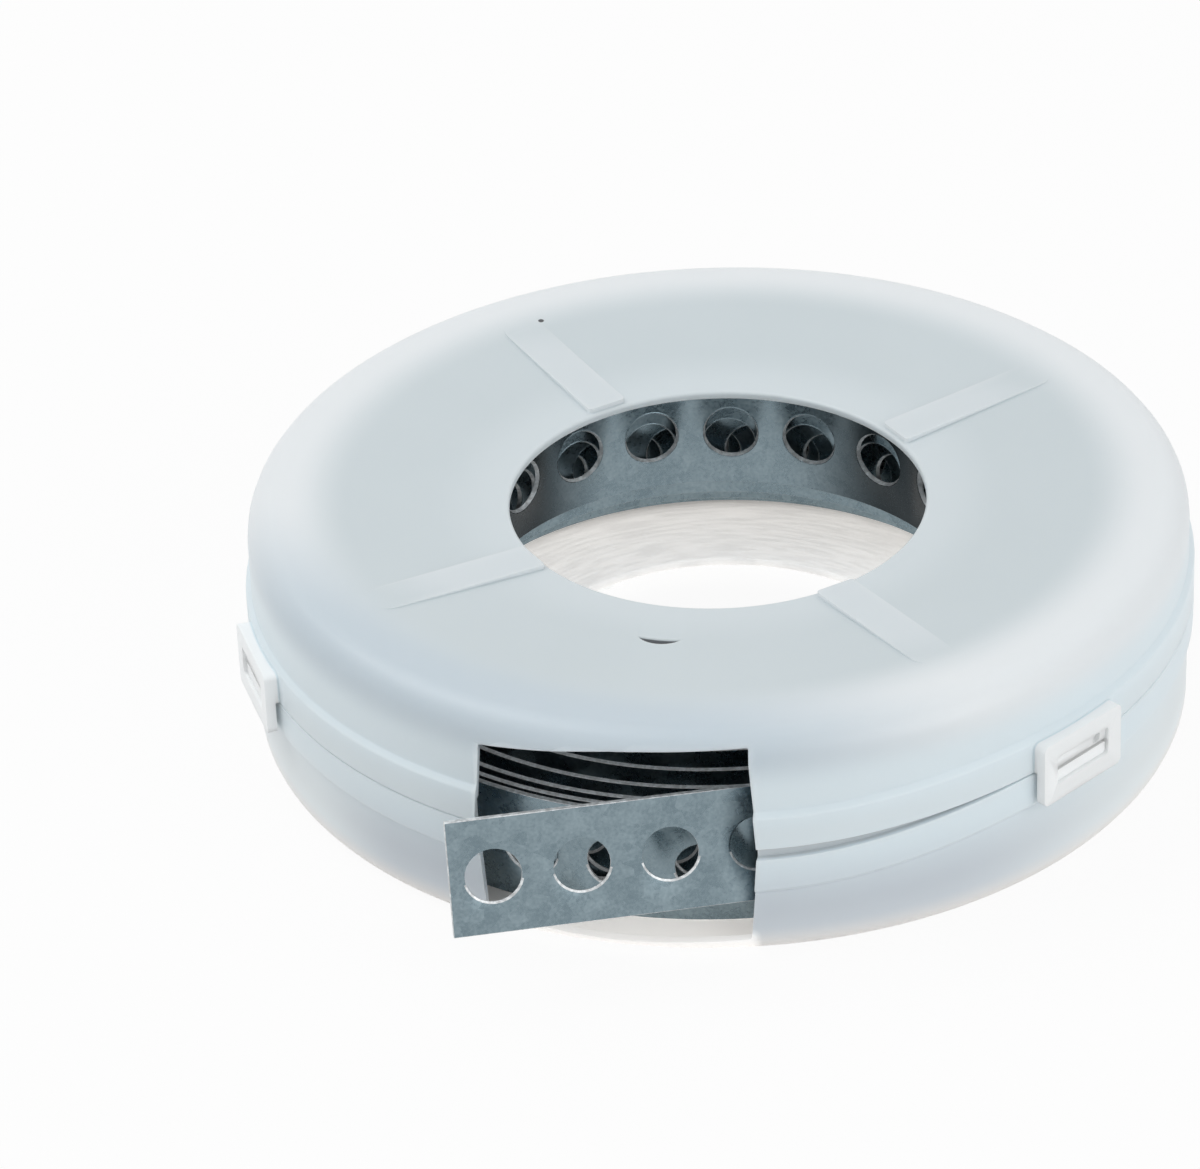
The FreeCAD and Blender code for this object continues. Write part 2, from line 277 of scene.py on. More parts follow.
def grain_group() -> bpy.types.NodeTree:
    """The cloudy noise that every finish uses, built once.

    Returns:
        The group, which takes Place, Scale and Detail and gives Grain.
    """
    found = bpy.data.node_groups.get("grain")
    if found:
        return found
    inputs = {"Place": "NodeSocketVector", "Scale": "NodeSocketFloat", "Detail": "NodeSocketFloat"}
    group = new_group("grain", inputs, {"Grain": "NodeSocketFloat"})
    taken, given = group.nodes[0], group.nodes[1]
    noise = group.nodes.new("ShaderNodeTexNoise")
    group.links.new(taken.outputs["Place"], noise.inputs["Vector"])
    group.links.new(taken.outputs["Scale"], noise.inputs["Scale"])
    group.links.new(taken.outputs["Detail"], noise.inputs["Detail"])
    group.links.new(noise.outputs["Fac"], given.inputs["Grain"])
    return group


def place_group() -> bpy.types.NodeTree:
    """The measures of a place on the case that every finish uses, built once.

    Returns:
        The group, which takes Place and gives Across, Along, Level and its Radius from the case's axis.
    """
    found = bpy.data.node_groups.get("place_on_case")
    if found:
        return found
    names = ("Across", "Along", "Level", "Radius")
    group = new_group("place_on_case", {"Place": "NodeSocketVector"}, dict.fromkeys(names, "NodeSocketFloat"))
    taken, given = group.nodes[0], group.nodes[1]
    axes = group.nodes.new("ShaderNodeSeparateXYZ")
    group.links.new(taken.outputs["Place"], axes.inputs["Vector"])
    for name, axis in zip(names, "XYZ"):
        group.links.new(axes.outputs[axis], given.inputs[name])
    flat = group.nodes.new("ShaderNodeCombineXYZ")
    group.links.new(axes.outputs["X"], flat.inputs["X"])
    group.links.new(axes.outputs["Y"], flat.inputs["Y"])
    length = group.nodes.new("ShaderNodeVectorMath")
    length.operation = "LENGTH"
    group.links.new(flat.outputs["Vector"], length.inputs[0])
    group.links.new(length.outputs["Value"], given.inputs["Radius"])
    return group


@dataclass(frozen=True)
class Here:
    """Where the shaded point lies on the case, as sockets in metres."""

    place: bpy.types.NodeSocket
    across: bpy.types.NodeSocket
    along: bpy.types.NodeSocket
    level: bpy.types.NodeSocket
    radius: bpy.types.NodeSocket


class Shader:
    """A material's node tree, with short calls for the nodes that the finishes use."""

    def __init__(self, name: str) -> None:
        """Starts a material with that name and finds its Principled shader.

        Args:
            name: the material's name.
        """
        self.material = bpy.data.materials.new(name)
        self.material.use_nodes = True
        self.tree = self.material.node_tree
        self.surface = self.tree.nodes["Principled BSDF"]

    def feed(self, node: bpy.types.Node, name: str | int, value: object) -> None:
        """Sets one input of a node, or links a socket to it.

        Args:
            node: the node.
            name: the input's name or number.
            value: its value or socket.
        """
        if isinstance(value, bpy.types.NodeSocket):
            self.tree.links.new(value, node.inputs[name])
        else:
            node.inputs[name].default_value = value

    def feed_all(self, node: bpy.types.Node, inputs: dict[str, object]) -> None:
        """Feeds several inputs of a node, named with _ for a space."""
        for name, value in inputs.items():
            self.feed(node, name.replace("_", " "), value)

    def add(self, kind: str, **inputs: object) -> bpy.types.Node:
        """Adds a node.

        Args:
            kind: the node's type.
            inputs: values or sockets for its inputs, with _ for a space in the name.

        Returns:
            The node.
        """
        node = self.tree.nodes.new(kind)
        self.feed_all(node, inputs)
        return node

    def add_group(self, group: bpy.types.NodeTree, **inputs: object) -> bpy.types.Node:
        """Places a node group in the material.

        Args:
            group: the group.
            inputs: values or sockets for its inputs.

        Returns:
            The group's node.
        """
        node = self.tree.nodes.new("ShaderNodeGroup")
        node.node_tree = group
        self.feed_all(node, inputs)
        return node

    def finish(self, **inputs: object) -> None:
        """Sets inputs of the Principled shader, or links sockets to them."""
        self.feed_all(self.surface, inputs)

    def here(self) -> Here:
        """Where the shaded point lies.

        Returns:
            The sockets that say so.
        """
        place = self.add("ShaderNodeTexCoord").outputs["Object"]
        measures = self.add_group(place_group(), Place=place).outputs
        return Here(place, measures["Across"], measures["Along"], measures["Level"], measures["Radius"])

    def math(self, operation: str, first: object, second: object = 0.0) -> bpy.types.NodeSocket:
        """One Math node's result.

        Args:
            operation: what the node does.
            first: its first value or socket.
            second: its second value or socket.

        Returns:
            The result.
        """
        node = self.add("ShaderNodeMath")
        node.operation = operation
        self.feed(node, 0, first)
        self.feed(node, 1, second)
        return node.outputs[0]

    def times(self, first: object, *others: object) -> bpy.types.NodeSocket:
        """The product of two or more values.

        Args:
            first: the first value or socket.
            others: the values or sockets it is multiplied by.

        Returns:
            The product.
        """
        for other in others:
            first = self.math("MULTIPLY", first, other)
        return first

    def step(self, value: object, span: Span, to: Span = (0.0, 1.0)) -> bpy.types.NodeSocket:
        """A soft step between the two ends of a span of a socket's values.

        Args:
            value: the socket.
            span: the values between which it steps.
            to: what it gives at each end of the span.

        Returns:
            The step.
        """
        node = self.add("ShaderNodeMapRange", Value=value, From_Min=span[0], From_Max=span[1])
        node.interpolation_type = "SMOOTHSTEP"
        self.feed_all(node, {"To_Min": to[0], "To_Max": to[1]})
        return node.outputs["Result"]

    def rise(self, value: object, span: Span) -> bpy.types.NodeSocket:
        """A mask that rises from 0 to 1 over a span in millimetres."""
        return self.step(value, (span[0] * MM, span[1] * MM))

    def fall(self, value: object, span: Span) -> bpy.types.NodeSocket:
        """A mask that falls from 1 to 0 over a span in millimetres."""
        return self.step(value, (span[0] * MM, span[1] * MM), (1.0, 0.0))

    def spot(self, here: Here, middle: Point, edge: Span) -> bpy.types.NodeSocket:
        """A round mask as seen from above.

        Args:
            here: where the shaded point lies.
            middle: the middle of the spot, in millimetres.
            edge: the distances from the middle between which the mask falls, in millimetres.

        Returns:
            The mask, 1 inside the spot.
        """
        aside = self.math("SUBTRACT", here.across, middle[0] * MM)
        beyond = self.math("SUBTRACT", here.along, middle[1] * MM)
        squared = self.math("ADD", self.times(aside, aside), self.times(beyond, beyond))
        return self.fall(self.math("SQRT", squared), edge)

    def mix(self, share: object, first: object, second: object) -> bpy.types.NodeSocket:
        """A colour between two others.

        Args:
            share: how much of the second colour it has.
            first: the first colour or socket.
            second: the second colour or socket.

        Returns:
            The colour.
        """
        node = self.add("ShaderNodeMix")
        node.data_type = "RGBA"
        self.feed(node, 0, share)
        self.feed(node, 6, first if isinstance(first, bpy.types.NodeSocket) else (*first, 1.0))
        self.feed(node, 7, second if isinstance(second, bpy.types.NodeSocket) else (*second, 1.0))
        return node.outputs[2]

    def noise(self, place: object, size: float, detail: float) -> bpy.types.NodeSocket:
        """Cloudy noise whose blotches are about size millimetres across."""
        node = self.add_group(grain_group(), Place=place, Scale=1.0 / (size * MM), Detail=detail)
        return node.outputs["Grain"]

    def bump(self, height: object, distance: float, strength: float) -> None:
        """Lets a height dent the surface, over a distance in millimetres."""
        node = self.add("ShaderNodeBump", Height=height, Distance=distance * MM, Strength=strength)
        self.finish(Normal=node.outputs["Normal"])

    def shine(self, share: object, colour: Colour, strength: float) -> None:
        """Lets the surface give off light of a colour where a mask is up."""
        self.finish(Emission_Color=self.mix(share, BLACK, colour), Emission_Strength=strength)


@dataclass(frozen=True)
class FrostedPlastic:
    """Milky polypropylene: grey-blue where the coil lies close under it, paler where it stands alone.

    Places, radii, levels and sizes are in millimetres, and a glow is the strength of the light that comes
    through there.
    """

    over_coil: Colour = srgb(204, 214, 218)
    by_bore: Colour = srgb(212, 221, 225)
    # The shoulder is paler beyond the coil's edge and also carries a painted highlight; the front shoulder's
    # colour is painted shade.
    shoulder: Colour = srgb(233, 238, 241)
    front_shoulder_shade: Colour = srgb(200, 212, 220)
    wall: Colour = srgb(225, 237, 243)
    # The lower wall's colour is painted shade, and the side wall's colour is a painted highlight at the lower
    # wall's left and right.
    low_wall_shade: Colour = srgb(205, 213, 220)
    side_wall_highlight: Colour = srgb(230, 238, 241)
    # The foot's colour is painted paler and cream, as light that makes up for the shade under the case.
    foot: Colour = srgb(232, 229, 226)
    thick: Colour = srgb(240, 244, 246)
    rib: Colour = srgb(214, 222, 226)
    speck: Colour = srgb(70, 72, 76)
    # Painted shade inside the slit, where it is sunk below the top.
    groove_shade: Colour = srgb(92, 97, 101)
    # Painted shade in the seam's gap between the halves.
    seam: Colour = srgb(206, 213, 217)
    lit_through: Colour = srgb(255, 251, 246)
    cloud_size: float = 26.0
    cloud_detail: float = 1.0
    cloud_span: Span = (0.3, 0.75)
    cloud_depth: Span = (0.75, 1.0)
    coil_near: Span = (31.0, 41.0)
    shoulder_from: Span = (52.0, 61.0)
    front_shade_lean: float = 0.9
    front_shade_edge: Span = (-78.0, -40.0)
    wall_top: Span = (9.0, 15.0)
    low_wall_shade_top: Span = (-11.0, 0.0)
    left_highlight: Span = (-64.0, -54.0)
    right_highlight: Span = (15.0, 50.0)
    foot_top: Span = (-16.5, -12.5)
    top_level: float = 17.2
    top_slope: float = 0.0836
    rest_inner: float = 57.0
    rib_height: Span = (0.05, 0.35)
    clip_radius: Span = (67.45, 67.75)
    speck_place: Point = (-14.8, 52.9)
    speck_edge: Span = (0.35, 0.5)
    groove_shade_place: Point = (-16.2, -35.5)
    groove_shade_edge: Span = (3.6, 4.0)
    groove_shade_depth: Span = (-0.4, -0.15)
    seam_shade_radius: Span = (66.6, 67.1)
    seam_shade_level: Span = (2.6, 3.4)
    glow: float = 0.6
    glow_radius: Span = (45.0, 53.0)
    glow_behind: Span = (-2.0, 10.0)
    glow_top: Span = (-12.5, -11.0)
    streak_size: float = 0.7
    streak_detail: float = 3.0
    streak_stretch: float = 0.004
    streak_span: Span = (0.42, 0.62)
    streak_depth: Span = (1.0, 0.86)
    foot_glow: float = 0.08
    foot_radius: Span = (61.0, 64.0)
    foot_glow_top: Span = (-16.5, -9.0)
    clip_glow: float = 0.08
    lip_glow: float = 0.4
    lip_place: Point = (-26.1, -57.3)
    lip_edge: Span = (17.0, 19.0)
    lip_top: Span = (-14.5, -12.5)
    roughness: float = 0.4
    refraction: float = 1.5
    scatter: float = 0.5
    scatter_reach: float = 1.5
    grain_size: float = 0.35
    grain_detail: float = 2.0
    grain_depth: float = 0.02
    grain_strength: float = 0.25

    def top_tint(self, shader: Shader, here: Here) -> bpy.types.NodeSocket:
        """The tint of the sloping top and of the shoulder round it, with a painted highlight on the shoulder
        at the back and right and painted shade on it at the front.

        Args:
            shader: the material's nodes.
            here: where the shaded point lies.

        Returns:
            The tint.
        """
        noise = shader.noise(here.place, self.cloud_size, self.cloud_detail)
        clouds = shader.step(noise, self.cloud_span, self.cloud_depth)
        near = shader.rise(here.radius, self.coil_near)
        tint = shader.mix(shader.times(near, clouds), self.by_bore, self.over_coil)
        # Painted shade on the front of the shoulder, painted highlight on the rest of it.
        ahead = shader.math("ADD", here.along, shader.times(here.across, self.front_shade_lean))
        shoulder = shader.mix(shader.rise(ahead, self.front_shade_edge), self.front_shoulder_shade, self.shoulder)
        return shader.mix(shader.rise(here.radius, self.shoulder_from), tint, shoulder)

    def wall_tint(self, shader: Shader, here: Here, tint: bpy.types.NodeSocket) -> bpy.types.NodeSocket:
        """Adds the tints of the wall, the painted shade of its lower part with painted highlights at its left
        and right, and the foot's painted light.

        Args:
            shader: the material's nodes.
            here: where the shaded point lies.
            tint: the tint above them.

        Returns:
            The tint with them.
        """
        # Painted highlight at the lower wall's left and right, painted shade on the rest of the lower wall.
        left, right = shader.fall(here.across, self.left_highlight), shader.rise(here.across, self.right_highlight)
        low_wall_shade = shader.mix(shader.math("MAXIMUM", left, right), self.low_wall_shade, self.side_wall_highlight)
        tint = shader.mix(shader.fall(here.level, self.wall_top), tint, self.wall)
        tint = shader.mix(shader.fall(here.level, self.low_wall_shade_top), tint, low_wall_shade)
        # The foot is painted paler, as light that makes up for the shade under it.
        return shader.mix(shader.fall(here.level, self.foot_top), tint, self.foot)

    def mark_tint(self, shader: Shader, here: Here, clip: bpy.types.NodeSocket,
                  tint: bpy.types.NodeSocket) -> bpy.types.NodeSocket:
        """Adds the tints of the ribs, the clips and the speck, and the painted shade in the slit and in the
        gap of the seam.

        Args:
            shader: the material's nodes.
            here: where the shaded point lies.
            clip: the mask of the clips.
            tint: the tint round them.

        Returns:
            The tint with them.
        """
        away = shader.math("ABSOLUTE", here.level)
        inward = shader.math("SUBTRACT", self.rest_inner * MM, here.radius)
        over = shader.math("SUBTRACT", away, self.top_level * MM)
        height = shader.math("ADD", over, shader.times(inward, self.top_slope))
        rib, sunk = shader.rise(height, self.rib_height), shader.fall(height, self.groove_shade_depth)
        speck = shader.spot(here, self.speck_place, self.speck_edge)
        # Painted shade inside the slit.
        groove_shade = shader.times(sunk, shader.spot(here, self.groove_shade_place, self.groove_shade_edge))
        # Painted shade in the seam's gap.
        seam = shader.times(shader.fall(here.radius, self.seam_shade_radius), shader.fall(away, self.seam_shade_level))
        marks = ((rib, self.rib), (clip, self.thick), (speck, self.speck), (groove_shade, self.groove_shade),
                 (seam, self.seam))
        for mask, colour in marks:
            tint = shader.mix(mask, tint, colour)
        return tint

    def light(self, shader: Shader, here: Here, clip: bpy.types.NodeSocket) -> bpy.types.NodeSocket:
        """How much light comes through: the case's floor seen through the bore, the foot, clips and lip.

        Args:
            shader: the material's nodes.
            here: where the shaded point lies.
            clip: the mask of the clips.

        Returns:
            The mask of the light, as a share of the strongest glow.
        """
        turn = shader.math("ARCTAN2", here.along, here.across)
        rings = shader.add("ShaderNodeCombineXYZ", X=here.radius, Y=shader.times(turn, self.streak_stretch))
        streaks = shader.noise(rings.outputs[0], self.streak_size, self.streak_detail)
        through = shader.times(
            shader.fall(here.radius, self.glow_radius),
            shader.rise(here.along, self.glow_behind),
            shader.fall(here.level, self.glow_top),
            shader.step(streaks, self.streak_span, self.streak_depth),
        )
        foot_ring = shader.rise(here.radius, self.foot_radius)
        foot = shader.times(foot_ring, shader.fall(here.level, self.foot_glow_top))
        lip_spot = shader.spot(here, self.lip_place, self.lip_edge)
        lip = shader.times(lip_spot, shader.fall(here.level, self.lip_top))
        for mask, glow in ((foot, self.foot_glow), (clip, self.clip_glow), (lip, self.lip_glow)):
            through = shader.math("MAXIMUM", through, shader.times(mask, glow / self.glow))
        return through

    def material(self) -> bpy.types.Material:
        """Builds the material.

        Returns:
            The frosted plastic.
        """
        shader = Shader("frosted_plastic")
        here = shader.here()
        clip = shader.rise(here.radius, self.clip_radius)
        tint = self.wall_tint(shader, here, self.top_tint(shader, here))
        shader.finish(
            Base_Color=self.mark_tint(shader, here, clip, tint),
            Roughness=self.roughness,
            IOR=self.refraction,
            Subsurface_Weight=self.scatter,
            Subsurface_Radius=WHITE,
            Subsurface_Scale=self.scatter_reach * MM,
        )
        shader.shine(self.light(shader, here, clip), self.lit_through, self.glow)
        grain = shader.noise(here.place, self.grain_size, self.grain_detail)
        shader.bump(grain, self.grain_depth, self.grain_strength)
        return shader.material


@dataclass(frozen=True)
class GalvanisedSteel:
    """Dull zinc on steel: blue-grey and mottled, with painted shade at both sides of the innermost turn."""

    dark: Colour = srgb(112, 129, 137)
    light: Colour = srgb(150, 166, 173)
    # Painted shade on both sides of the innermost turn, which faces into the dark inside of the coil there.
    inner_turn_shade: Colour = srgb(34, 40, 43)
    inner_turn_shade_radius: Span = (37.0, 38.0)
    inner_turn_shade_sides: Span = (12.0, 26.0)
    inner_turn_shade_middle: float = 4.0
    inner_turn_shade_share: float = 0.95
    metallic: float = 0.92
    roughness: Span = (0.22, 0.42)
    spangle_size: float = 1.7
    spangle_share: float = 0.14
    spangle_height: float = 0.3
    grain_size: float = 0.5
    grain_detail: float = 4.0
    grain_share: float = 0.5
    grain_depth: float = 0.03
    grain_strength: float = 0.3
    blotch_size: float = 6.0
    blotch_detail: float = 3.0
    blotch_share: float = 0.5
    mottle_span: Span = (0.3, 0.95)

    def material(self) -> bpy.types.Material:
        """Builds the material.

        Returns:
            The galvanised steel.
        """
        shader = Shader("galvanised_steel")
        here = shader.here()
        scale = 1.0 / (self.spangle_size * MM)
        cells = shader.add("ShaderNodeTexVoronoi", Vector=here.place, Scale=scale).outputs["Color"]
        spangles = shader.add("ShaderNodeSeparateColor", Color=cells).outputs[0]
        grain = shader.noise(here.place, self.grain_size, self.grain_detail)
        blotches = shader.noise(here.place, self.blotch_size, self.blotch_detail)
        mottle = shader.times(spangles, self.spangle_share)
        mottle = shader.math("ADD", mottle, shader.times(grain, self.grain_share))
        mottle = shader.math("ADD", mottle, shader.times(blotches, self.blotch_share))
        tint = shader.mix(shader.step(mottle, self.mottle_span), self.dark, self.light)
        # Painted shade on the innermost turn's sides.
        aside = shader.math("ABSOLUTE", shader.math("SUBTRACT", here.across, self.inner_turn_shade_middle * MM))
        inner, sides = shader.fall(here.radius, self.inner_turn_shade_radius), shader.rise(aside, self.inner_turn_shade_sides)
        shader.finish(
            Base_Color=shader.mix(shader.times(inner, sides, self.inner_turn_shade_share), tint, self.inner_turn_shade),
            Metallic=self.metallic,
            Roughness=shader.step(mottle, self.mottle_span, self.roughness),
        )
        height = shader.math("ADD", grain, shader.times(spangles, self.spangle_height))
        shader.bump(height, self.grain_depth, self.grain_strength)
        return shader.material


@dataclass(frozen=True)
class ShearedEdge:
    """The bright metal where the strap was cut and punched, with a faint painted glow towards the front; it
    is also laid on the lower part of each hole's dished rim as a painted highlight.
    """

    colour: Colour = srgb(236, 240, 242)
    dimmed: float = 0.6
    streak_size: float = 0.8
    streak_detail: float = 3.0
    streak_span: Span = (0.35, 0.7)
    metallic: float = 0.4
    roughness: float = 0.35
    glow: float = 0.06
    glow_radius: Span = (59.0, 60.5)
    glow_front: Span = (-30.0, -25.0)

    def material(self) -> bpy.types.Material:
        """Builds the material.

        Returns:
            The bright edge.
        """
        shader = Shader("sheared_edge")
        here = shader.here()
        streaks = shader.noise(here.place, self.streak_size, self.streak_detail)
        dim = tuple(part * self.dimmed for part in self.colour)
        shader.finish(
            Base_Color=shader.mix(shader.step(streaks, self.streak_span), dim, self.colour),
            Metallic=self.metallic,
            Roughness=self.roughness,
        )
        ahead = shader.fall(here.along, self.glow_front)
        shader.shine(shader.times(shader.fall(here.radius, self.glow_radius), ahead), WHITE, self.glow)
        return shader.material


@dataclass
class Strap:
    """The perforated strap: a flat holed strip of its real length, bent into its loose coil and free end.

    The lengths are in millimetres. The outer turns rest at the level floor, and head is the level of the
    innermost turn's upper edge.
    """

    width: float = 17.0
    thickness: float = 0.8
    pitch: float = 12.0
    hole_radius: float = 3.8
    rim_radius: float = 4.15
    rim_dip: float = 0.2
    holes: int = 250
    end_length: float = 51.0
    end_rise: float = 5.4
    end_lean_deg: float = 9.0
    end_slope: float = 0.03
    settle_deg: float = 150.0
    inner_radius: float = 35.75
    outer_radius: float = 61.6
    crowding: float = 2.6
    crowded_turns: float = 6.0
    back_sag: float = 3.0
    front_sag: float = 2.0
    slip_mm: float = 4.3
    slip_turns: tuple[float, float, float, float] = (0.4, 0.9, 1.4, 2.0)
    front_lifted: float = 0.55
    cell_across: int = 6
    cell_along: int = 8
    bright_tilt: float = 0.5
    # How low on each hole's dished rim the painted highlight starts, as a share of the rim's radius.
    rim_highlight_reach: float = -0.3
    edge_round: float = 0.1
    edge_limit_deg: float = 40.0
    floor: float = 0.0
    head: float = 0.0

    def cell(self) -> bmesh.types.BMesh:
        """One pitch of the strip, flat, with its hole and the hole's dished rim.

        Returns:
            The open sheet, its middle at the origin, in millimetres.
        """
        bm = bmesh.new()
        bmesh.ops.create_grid(bm, x_segments=self.cell_across, y_segments=self.cell_along, size=0.5)
        bmesh.ops.scale(bm, vec=(self.pitch, self.width, 1.0), verts=bm.verts)
        bmesh.ops.delete(bm, geom=list(bm.faces), context="FACES_KEEP_BOUNDARY")
        sides = len(bm.edges)
        bmesh.ops.create_circle(bm, cap_ends=False, segments=sides, radius=self.rim_radius)
        reach = self.rim_radius + 0.01
        rim = [edge for edge in bm.edges if max(vert.co.length for vert in edge.verts) < reach]
        bmesh.ops.bridge_loops(bm, edges=list(bm.edges))
        drawn = bmesh.ops.extrude_edge_only(bm, edges=rim)["geom"]
        inner = [item for item in drawn if isinstance(item, bmesh.types.BMVert)]
        share = self.hole_radius / self.rim_radius
        bmesh.ops.scale(bm, vec=(share, share, 1.0), verts=inner)
        bmesh.ops.translate(bm, vec=(0.0, 0.0, -self.rim_dip), verts=inner)
        return bm

    def strip(self) -> bmesh.types.BMesh:
        """The whole strip, flat, with its thickness.

        Returns:
            The strip along +X from its free tip, in millimetres.
        """
        bm = self.cell()
        first = list(bm.verts) + list(bm.edges) + list(bm.faces)
        for hole in range(1, self.holes):
            copy = bmesh.ops.duplicate(bm, geom=first)["geom"]
            verts = [item for item in copy if isinstance(item, bmesh.types.BMVert)]
            bmesh.ops.translate(bm, verts=verts, vec=(hole * self.pitch, 0.0, 0.0))
        bmesh.ops.translate(bm, verts=bm.verts, vec=(self.pitch / 2, 0.0, 0.0))
        bmesh.ops.remove_doubles(bm, verts=bm.verts, dist=0.001)
        bmesh.ops.recalc_face_normals(bm, faces=bm.faces)
        bmesh.ops.solidify(bm, geom=list(bm.faces), thickness=self.thickness)
        for face in bm.faces:
            face.normal_update()
            middle = face.calc_center_median()
            # The lower part of each hole's dished rim gets the bright edge material as a painted highlight,
            # where light from above falls on it.
            rim = math.hypot(middle.x % self.pitch - self.pitch / 2, middle.y) < self.rim_radius
            lit_lower_rim = rim and middle.y < self.rim_highlight_reach * self.rim_radius
            face.material_index = 1 if lit_lower_rim or abs(face.normal.z) < self.bright_tilt else 0
        depths = [vert.co.z for vert in bm.verts]
        middle = (min(depths) + max(depths) + self.rim_dip) / 2
        bmesh.ops.translate(bm, verts=bm.verts, vec=(0.0, 0.0, -middle))
        return bm

    def spiral(self) -> tuple[float, float]:
        """How the coil's radius falls along the strip.

        Returns:
            The fall of the radius for each radian, and the turn at which the strip ends, in radians.
        """
        length = self.holes * self.pitch - self.end_length
        fall = (self.outer_radius ** 2 - self.inner_radius ** 2) / (2 * length)
        return fall, (self.outer_radius - self.inner_radius) / fall

    def rest_height(self, radius: float, angle: float) -> float:
        """The height of a turn's lower edge: the outer turns rest, and the loose inner ones ride up.

        Args:
            radius: the turn's radius there, in millimetres.
            angle: the place round the case, in radians.

        Returns:
            The height in millimetres.
        """
        out = (radius - self.inner_radius) / (self.outer_radius - self.inner_radius)
        behind = (1 - out) ** self.back_sag
        ahead = max(0.0, 1 - out / self.front_lifted) ** self.front_sag
        back = 0.5 + 0.5 * math.sin(angle)
        rise = self.head - self.width - self.floor
        return self.floor + rise * (ahead * (1 - back) + behind * back)

    def crowd(self, turned: float) -> float:
        """How far a turn has sprung outwards, off the even spiral."""
        share = turned / (2 * math.pi * self.crowded_turns)
        return self.crowding * math.sin(math.pi * share) ** 2 if share < 1 else 0.0

    def slip(self, turned: float, radius: float) -> float:
        """How far round, in radians, the last turn but one has slipped on the innermost.

        Args:
            turned: how far the strip has turned there, in radians.
            radius: the turn's radius there, in millimetres.

        Returns:
            The slip in radians.
        """
        inward = (self.spiral()[1] - turned) / (2 * math.pi)
        rise, full, fall, end = self.slip_turns
        return smooth(inward, rise, full) * (1 - smooth(inward, fall, end)) * self.slip_mm / radius

    def place(self, point: Vector) -> Vector:
        """Where a point of the flat strip lies once the strip is coiled.

        Args:
            point: the point on the flat strip, in millimetres.

        Returns:
            The point in the part's frame, in metres.
        """
        along, up, out = point.x - self.end_length, point.y, point.z
        fall, _ = self.spiral()
        turned = 0.0
        if along > 0:
            turned = (self.outer_radius - math.sqrt(self.outer_radius ** 2 - 2 * fall * along)) / fall
        radius = self.outer_radius - fall * turned
        angle = turned - math.pi / 2 + self.slip(turned, radius)
        loose = 1 - smooth(turned, 0.0, math.radians(self.settle_deg))
        lean = math.radians(self.end_lean_deg) * loose
        middle = self.rest_height(radius, angle) + self.end_rise * loose + self.width / 2
        height = middle + up * math.cos(lean) + out * math.sin(lean)
        reach = radius + self.crowd(turned) + out * math.cos(lean) - up * math.sin(lean)
        placed = Vector((math.cos(angle) * reach, math.sin(angle) * reach, height))
        if along < 0:
            placed.x += along
            placed.z -= along * self.end_slope
        return placed * MM

    def build(self, finish: bpy.types.Material, edge: bpy.types.Material) -> bpy.types.Object:
        """Builds the coiled strap.

        Args:
            finish: the material of its faces.
            edge: the material of its cut edges, of the holes' walls and of the painted highlight on the lower
                part of each hole's dished rim.

        Returns:
            The strap's object.
        """
        bm = self.strip()
        for vert in bm.verts:
            vert.co = self.place(vert.co)
        bmesh.ops.recalc_face_normals(bm, faces=bm.faces)
        piece = to_object("coiled_strap", bm)
        piece.data.materials.append(finish)
        piece.data.materials.append(edge)
        soften(piece, self.edge_round, self.edge_limit_deg, 1)
        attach(piece, "root")
        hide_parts("perforated_strap")
        LOG.info("coiled_strap: %d holes, %.2f m", self.holes, self.holes * self.pitch * MM)
        return piece


